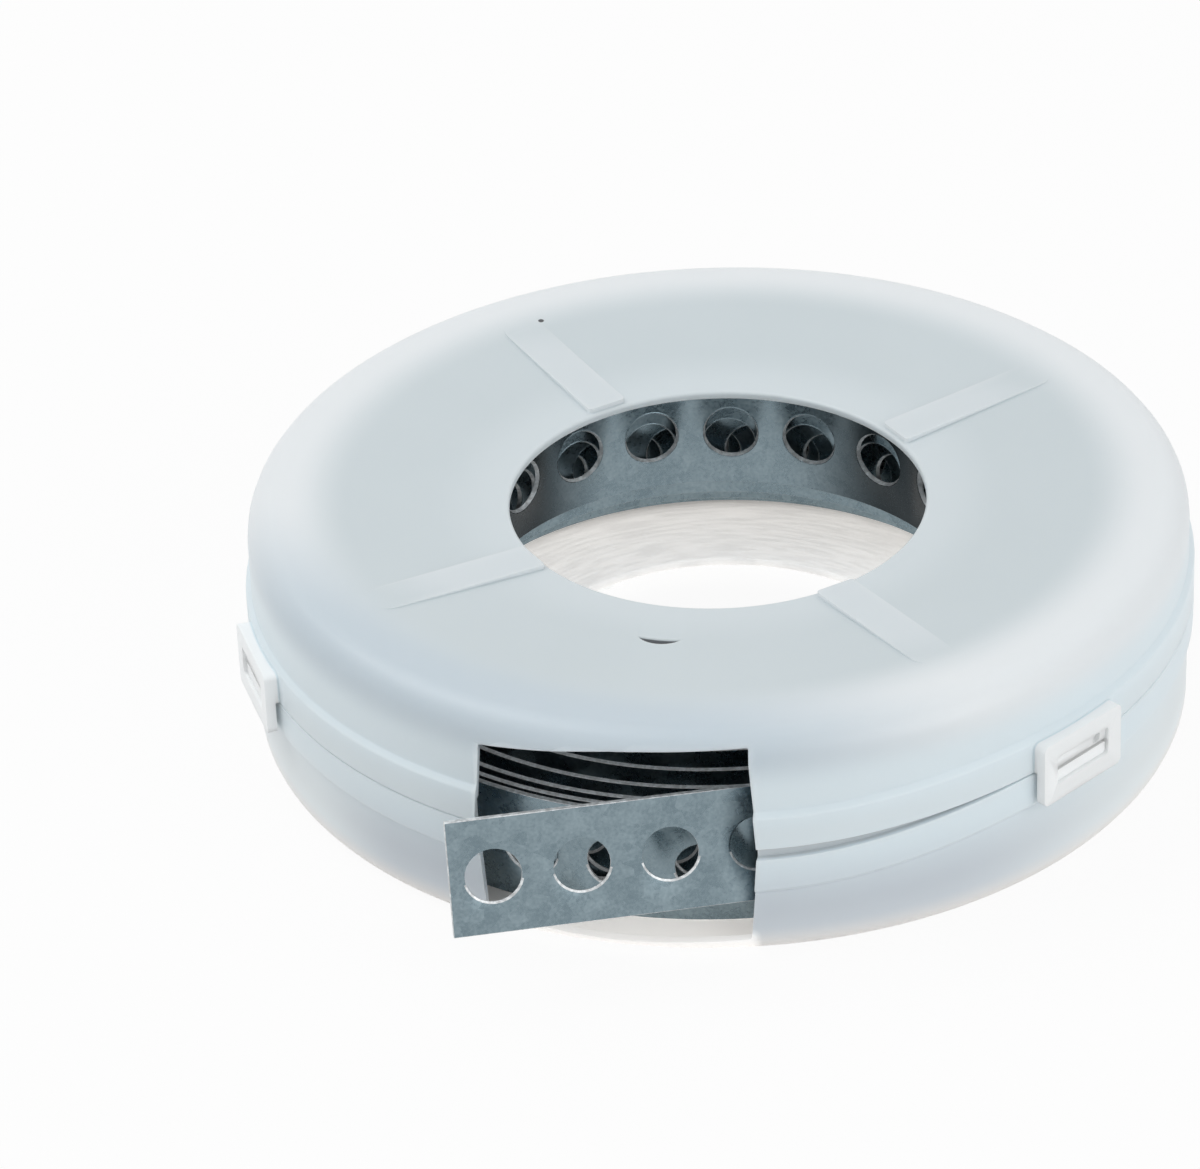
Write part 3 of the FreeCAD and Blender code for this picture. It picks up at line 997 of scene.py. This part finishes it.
@dataclass
class CaseHalf:
    """One moulded half of the case, built with its seam face down and its window towards -Y.

    The lengths are in millimetres. The sprung and gape values say how far the seam is lifted and how far
    it gapes beside the window, and between which turns and levels.
    """

    side: Side
    radius: float = 66.6
    height: float = 17.2
    wall: float = 1.3
    bore_radius: float = 29.5
    shoulder_radius: float = 4.6
    rest_ring: float = 5.0
    rim_drop: float = 2.3
    seam_gap: float = 0.12
    belt_height: float = 5.2
    belt_proud: float = 0.8
    lip_depth: float = 1.05
    lip_height: float = 2.6
    lip_play: Point = (0.15, 0.5)
    rib_width: float = 6.0
    rib_end: float = 0.98
    rib_corner: float = 0.6
    rib_rise: float = 0.7
    rib_sink: float = 0.1
    rib_start: float = 30.1
    rib_reach: float = 56.5
    rib_count: int = 4
    rib_turn_deg: float = 1.2
    clip_turns_deg: tuple[float, float, float] = (57.0, 180.0, 300.0)
    clip_width: float = 15.5
    clip_height: float = 9.5
    clip_bar: float = 2.6
    clip_thickness: float = 1.4
    clip_clearance: float = 0.2
    clip_web: float = 0.9
    clip_corner: float = 0.9
    clip_cut: float = 5.0
    eye_corner: float = 0.5
    nub_hole: Point = (3.2, 1.1)
    nub_half: float = 0.7
    nub_corner: float = 0.4
    catch_width: float = 10.0
    catch_play: float = 0.15
    catch_foot: float = 0.3
    slit_radius: float = 39.0
    slit_chord: float = 6.2
    slit_depth: float = 1.8
    slit_tongue: float = 0.3
    slit_floor: float = 1.0
    slit_steps: int = 6
    window_turn_deg: float = 24.5
    window_shift: float = -1.2
    window_seam_width: float = 38.7
    window_end_width: float = 36.7
    window_ends: Point = (12.4, 15.5)
    window_arch: float = 0.9
    window_arch_radius: float = 80.0
    window_corner: float = 0.4
    window_past_seam: float = 4.0
    window_root: float = 52.0
    sprung: Point = (0.3, 1.9)
    sprung_from_deg: Point = (-98.0, -60.0)
    sprung_to_deg: Point = (-15.0, 40.0)
    gape: float = 1.6
    gape_to_deg: Point = (-100.0, -58.0)
    sprung_level: Point = (6.5, 13.0)
    edge_round: float = 0.25
    edge_limit_deg: float = 35.0
    steps: int = 180

    def section(self) -> list[Point]:
        """The outline of the half's wall, from the bore's rim round to the inside.

        Returns:
            The outline's points, out from the axis and up, in millimetres.
        """
        belt = self.radius + self.belt_proud
        ring = self.radius - self.shoulder_radius - self.rest_ring
        face = self.seam_gap / 2
        rim = self.height - self.rim_drop
        inside = self.radius - self.wall
        lip = inside + self.lip_depth
        if self.side is Side.UPPER:
            beside, above = lip + self.lip_play[0], self.lip_height + self.lip_play[1]
            seam = [(beside, face, 0.1), (beside, above, 0.0), (inside, above, 0.0)]
        else:
            seam = [(lip, face, 0.0), (lip, -self.lip_height, 0.2), (inside, -self.lip_height, 0.2)]
        return rounded([
            (self.bore_radius, rim, 0.5),
            (ring, self.height, 6.0),
            (self.radius, self.height, self.shoulder_radius),
            (self.radius, self.belt_height + 0.5, 0.5),
            (belt, self.belt_height - 0.3, 0.6),
            (belt, face, 0.2),
            *seam,
            (inside, self.height - self.wall, self.shoulder_radius - self.wall),
            (ring, self.height - self.wall, 4.0),
            (self.bore_radius, rim - self.wall, 0.5),
        ])

    def shell(self) -> bmesh.types.BMesh:
        """The turned wall of the half.

        Returns:
            The wall, in metres.
        """
        bm = bmesh.new()
        verts = [bm.verts.new((across * MM, 0.0, along * MM)) for across, along in self.section()]
        edges = [bm.edges.new((verts[index - 1], verts[index])) for index in range(len(verts))]
        bmesh.ops.spin(bm, geom=verts + edges, cent=(0, 0, 0), axis=(0, 0, 1), angle=2 * math.pi,
                       steps=self.steps, use_merge=True)
        bmesh.ops.recalc_face_normals(bm, faces=bm.faces)
        return bm

    def top_at(self, radius: float) -> float:
        """The height of the sloping top at a radius."""
        ring = self.radius - self.shoulder_radius - self.rest_ring
        return self.height - self.rim_drop * (ring - radius) / (ring - self.bore_radius)

    def rib(self, turn: float) -> bmesh.types.BMesh:
        """One radial rib with a round outer end.

        Args:
            turn: the way the rib runs, in radians.

        Returns:
            The rib's solid.
        """
        half = self.rib_width / 2
        outline = rounded([
            (self.rib_start, -half, self.rib_corner),
            (self.rib_reach, -half, half * self.rib_end),
            (self.rib_reach, half, half * self.rib_end),
            (self.rib_start, half, self.rib_corner),
        ])
        bm = prism(outline, Matrix.Identity(4), 1.0)
        start = self.top_at(self.rib_start) + self.rib_rise
        end = self.height - self.rib_sink
        for vert in bm.verts:
            high = vert.co.z > 0.5 * MM
            across = math.hypot(vert.co.x, vert.co.y) / MM
            share = min(1.0, (across - self.rib_start) / (self.rib_reach - half - self.rib_start))
            vert.co.z = (start + (end - start) * share if high else self.top_at(across) - self.wall / 2) * MM
        bmesh.ops.rotate(bm, verts=bm.verts, cent=(0, 0, 0), matrix=Matrix.Rotation(turn, 3, "Z"))
        return bm

    def facing(self, turn: float, reach: float) -> Matrix:
        """Axes on the outside of the case: across the wall, up, and straight outwards.

        Args:
            turn: the way that the place faces, from the window's own way, in radians.
            reach: how far the place is from the case's axis.

        Returns:
            The matrix of those axes.
        """
        axes = frame_axes(Vector((1, 0, 0)), Vector((0, 0, 1)), Vector((0, -reach, 0)))
        return Matrix.Rotation(turn, 4, "Z") @ axes

    def window(self) -> bmesh.types.BMesh:
        """The solid that cuts this half's notch of the window.

        Returns:
            The solid, in metres.
        """
        left, right = self.window_ends
        middle, wide, narrow = self.window_shift, self.window_seam_width / 2, self.window_end_width / 2
        outline = rounded([
            (middle - wide, -self.window_past_seam, 0.0),
            (middle + wide, -self.window_past_seam, 0.0),
            (middle + wide, 0.0, 0.0),
            (middle + narrow, right, self.window_corner),
            (middle, (left + right) / 2 + self.window_arch, self.window_arch_radius),
            (middle - narrow, left, self.window_corner),
            (middle - wide, 0.0, 0.0),
        ])
        return prism(outline, self.facing(0.0, self.window_root), self.radius)

    def spring(self, piece: bpy.types.Object) -> None:
        """Lifts the seam out of true, as the strap springs the halves apart beside the window.

        Args:
            piece: the half, in its place.
        """
        start, full = (math.radians(turn) for turn in self.sprung_from_deg)
        fall, end = (math.radians(turn) for turn in self.sprung_to_deg)
        wide, shut = (math.radians(turn) for turn in self.gape_to_deg)
        for vert in piece.data.vertices:
            turn = math.atan2(vert.co.y, vert.co.x)
            if not wide - 0.03 < turn < end:
                continue
            lift = self.sprung[0] + (self.sprung[1] - self.sprung[0]) * smooth(turn, start, full)
            if self.side is Side.LOWER:
                lift -= self.gape * (1 - smooth(turn, wide, shut))
            near = 1 - smooth(abs(vert.co.z) / MM, *self.sprung_level)
            vert.co.z += lift * near * (1 - smooth(turn, fall, end)) * MM

    def slit(self) -> bmesh.types.BMesh:
        """The solid that cuts the crescent slit near the bore's rim, between a deep and a shallow arc.

        Returns:
            The solid, in metres.
        """
        outline: list[Point] = []
        half = self.slit_chord / 2
        for depth, way in ((self.slit_depth, 1), (self.slit_tongue, -1)):
            bend = (half * half + depth * depth) / (2 * depth)
            reach = math.asin(half / bend)
            for step in range(-self.slit_steps, self.slit_steps):
                turn = reach * way * step / self.slit_steps
                along = bend - depth - self.slit_radius - bend * math.cos(turn)
                outline.append((bend * math.sin(turn), along))
        level = self.top_at(self.slit_radius)
        return prism(outline, Matrix.Translation((0.0, 0.0, level - self.slit_floor)), self.height)

    def loop(self, turn: float) -> list[tuple[bmesh.types.BMesh, str]]:
        """One clip loop: the saddle that carries it, its frame, its eye and recess, and the nub's hole.

        Args:
            turn: the way that the loop faces, in radians.

        Returns:
            The solids in order, each with what it does.
        """
        half, edge = self.clip_height / 2, self.clip_width / 2
        bar, eye = edge - self.clip_bar, half - self.clip_bar
        belt = self.radius + self.belt_proud
        back, root = belt + self.clip_clearance, self.radius - self.wall / 2
        corner, round_eye, cut = self.clip_corner, self.eye_corner, self.clip_cut
        saddle = plate((-edge, edge), (0.2, half), 0.0, corner)
        outside = plate((-edge, edge), (-half, half), corner, corner)
        hole = plate((-bar, bar), (-eye, 0.15), round_eye, 0.0)
        recess = plate((-bar, bar), (0.1, eye), 0.0, round_eye)
        (right, up), size = self.nub_hole, self.nub_half
        nub = plate((right - size, right + size), (up - size, up + size), self.nub_corner, self.nub_corner)
        return [
            (prism(saddle, self.facing(turn, root), back + self.clip_thickness / 2 - root), "UNION"),
            (prism(outside, self.facing(turn, back), self.clip_thickness), "UNION"),
            (prism(hole, self.facing(turn, self.radius + self.belt_proud * 0.6), cut), "DIFFERENCE"),
            (prism(recess, self.facing(turn, back + self.clip_web), cut), "DIFFERENCE"),
            (prism(nub, self.facing(turn, back + 0.1), cut), "DIFFERENCE"),
        ]

    def catch(self, turn: float) -> bmesh.types.BMesh:
        """One catch that a loop snaps over.

        Args:
            turn: the way that the catch faces, in radians.

        Returns:
            The solid, in metres.
        """
        edge, half = self.catch_width / 2, self.clip_height / 2 - self.clip_bar - self.catch_play
        root = self.radius - self.wall / 2
        out = self.radius + self.belt_proud + self.clip_clearance + self.clip_web - root
        outline = plate((-edge, edge), (self.catch_foot, half), self.catch_foot, self.eye_corner)
        return prism(outline, self.facing(turn, root), out)

    def build(self, finish: bpy.types.Material) -> bpy.types.Object:
        """Builds the half in its place.

        Args:
            finish: its material.

        Returns:
            The half's object.
        """
        piece = to_object(self.side.value.replace("_half", "_shell"), self.shell())
        for index in range(self.rib_count):
            turn = math.radians(360 / self.rib_count * (index + 0.5) - self.rib_turn_deg)
            combine(piece, self.rib(turn), "UNION")
        combine(piece, self.window(), "DIFFERENCE")
        for turn in self.clip_turns_deg:
            if self.side is Side.UPPER:
                for tool, operation in self.loop(math.radians(turn)):
                    combine(piece, tool, operation)
            else:
                combine(piece, self.catch(math.radians(-turn)), "UNION")
        if self.side is Side.UPPER:
            combine(piece, self.slit(), "DIFFERENCE")
        place = Matrix.Rotation(math.radians(-self.window_turn_deg), 4, "Z")
        if self.side is Side.LOWER:
            place = place @ Matrix.Rotation(math.pi, 4, "Y")
        piece.data.transform(place)
        self.spring(piece)
        piece.data.materials.clear()
        piece.data.materials.append(finish)
        soften(piece, self.edge_round, self.edge_limit_deg, 2)
        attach(piece, "root")
        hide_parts(self.side.value)
        LOG.info("%s: %d faces", piece.name, len(piece.data.polygons))
        return piece


@dataclass(frozen=True)
class Lamp:
    """A square lamp: its name, its place and side in metres, and its power in watts."""

    name: str
    place: tuple[float, float, float]
    size: float
    power: float

    def hang(self) -> None:
        """Hangs the lamp, shining at the object."""
        data = bpy.data.lights.new(self.name, "AREA")
        data.size = self.size
        data.energy = self.power
        lamp = bpy.data.objects.new(self.name, data)
        place = Vector(self.place)
        aim = place.to_track_quat("Z", "Y").to_matrix().to_4x4()
        lamp.matrix_world = Matrix.Translation(place) @ aim
        bpy.context.scene.collection.objects.link(lamp)


@dataclass
class Studio:
    """The photograph's view, a plain pale floor and soft light."""

    centre_px: Point = (720.4, 585.8)
    image_px: Point = (1200.0, 1169.0)
    focal_px: float = 5613.7
    distance: float = 0.802
    elevation_deg: float = 31.9
    azimuth_deg: float = 12.0
    roll_deg: float = 1.7
    sensor_mm: float = 36.0
    floor_size: float = 6.0
    floor_shade: float = 0.8
    floor_roughness: float = 0.9
    floor_seen: float = 0.93
    ambient: float = 0.55
    lamps: tuple[Lamp, ...] = (
        Lamp("key_light", (-0.5, 0.25, 0.9), 0.7, 4.0),
        Lamp("front_light", (0.6, -0.8, 0.5), 0.8, 3.6),
    )

    def camera(self) -> None:
        """Stands the camera where the photograph was taken."""
        azimuth, lift = math.radians(self.azimuth_deg), math.radians(self.elevation_deg)
        flat = math.cos(lift)
        back = Vector((-math.sin(azimuth) * flat, -math.cos(azimuth) * flat, math.sin(lift)))
        right = Vector((math.cos(azimuth), -math.sin(azimuth), 0.0))
        up = back.cross(right)
        roll = math.radians(self.roll_deg)
        rolled = right * math.cos(roll) - up * math.sin(roll)
        upright = right * math.sin(roll) + up * math.cos(roll)
        data = bpy.data.cameras.new("photo_camera")
        data.sensor_width = self.sensor_mm
        data.lens = self.focal_px / self.image_px[0] * self.sensor_mm
        data.shift_x = (self.image_px[0] / 2 - self.centre_px[0]) / self.image_px[0]
        data.shift_y = (self.centre_px[1] - self.image_px[1] / 2) / self.image_px[0]
        data.clip_start, data.clip_end = 0.01, 50.0
        camera = bpy.data.objects.new("photo_camera", data)
        turned = Matrix((rolled, upright, back)).transposed().to_4x4()
        camera.matrix_world = Matrix.Translation(back * self.distance) @ turned
        bpy.context.scene.collection.objects.link(camera)
        bpy.context.scene.camera = camera

    def floor(self, height: float) -> None:
        """Lays the pale floor.

        Args:
            height: the level of the floor in metres.
        """
        bm = bmesh.new()
        bmesh.ops.create_grid(bm, x_segments=1, y_segments=1, size=self.floor_size / 2)
        bmesh.ops.translate(bm, verts=bm.verts, vec=(0.0, 0.0, height))
        piece = to_object("studio_floor", bm)
        shader = Shader("pale_floor")
        shade = self.floor_shade
        shader.finish(Base_Color=(shade, shade, shade, 1.0), Roughness=self.floor_roughness)
        path = shader.add("ShaderNodeLightPath")
        seen = shader.math("MAXIMUM", path.outputs["Is Camera Ray"], path.outputs["Is Glossy Ray"])
        glow = shader.add("ShaderNodeEmission", Color=(*WHITE, 1.0), Strength=1.0)
        blend = shader.add("ShaderNodeMixShader")
        shader.feed(blend, 0, shader.times(seen, self.floor_seen))
        shader.feed(blend, 1, shader.surface.outputs[0])
        shader.feed(blend, 2, glow.outputs[0])
        output = shader.tree.nodes["Material Output"]
        shader.tree.links.new(blend.outputs[0], output.inputs["Surface"])
        piece.data.materials.append(shader.material)

    def world(self) -> None:
        """White all round to the camera and in reflections, and a plain level of light."""
        world = bpy.data.worlds.new("white_studio")
        world.use_nodes = True
        tree = world.node_tree
        background = tree.nodes["Background"]
        background.inputs["Color"].default_value = (*WHITE, 1.0)
        path = tree.nodes.new("ShaderNodeLightPath")
        seen = tree.nodes.new("ShaderNodeMath")
        seen.operation = "MAXIMUM"
        tree.links.new(path.outputs["Is Camera Ray"], seen.inputs[0])
        tree.links.new(path.outputs["Is Glossy Ray"], seen.inputs[1])
        level = tree.nodes.new("ShaderNodeMapRange")
        tree.links.new(seen.outputs[0], level.inputs["Value"])
        level.inputs["To Min"].default_value = self.ambient
        level.inputs["To Max"].default_value = 1.0
        tree.links.new(level.outputs[0], background.inputs["Strength"])
        bpy.context.scene.world = world

    def build(self, floor: float) -> None:
        """Sets up the whole studio over a floor at that level.

        Args:
            floor: the level of the floor in metres.
        """
        self.camera()
        self.floor(floor)
        self.world()
        for lamp in self.lamps:
            lamp.hang()
        bpy.context.scene.view_settings.view_transform = "Standard"


def main() -> None:
    """Builds the strap, the case and the studio."""
    logging.basicConfig(level=logging.INFO)
    low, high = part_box("perforated_strap")
    steel = GalvanisedSteel().material()
    plastic = FrostedPlastic().material()
    Strap(floor=low.z / MM, head=high.z / MM).build(steel, ShearedEdge().material())
    CaseHalf(Side.UPPER).build(plastic)
    lower = CaseHalf(Side.LOWER, shoulder_radius=2.9, rest_ring=6.7, window_shift=1.2,
                     window_ends=(14.6, 14.6))
    lower.build(plastic)
    Studio().build(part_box("lower_case_half")[0].z)


if __name__ == "__main__":
    main()
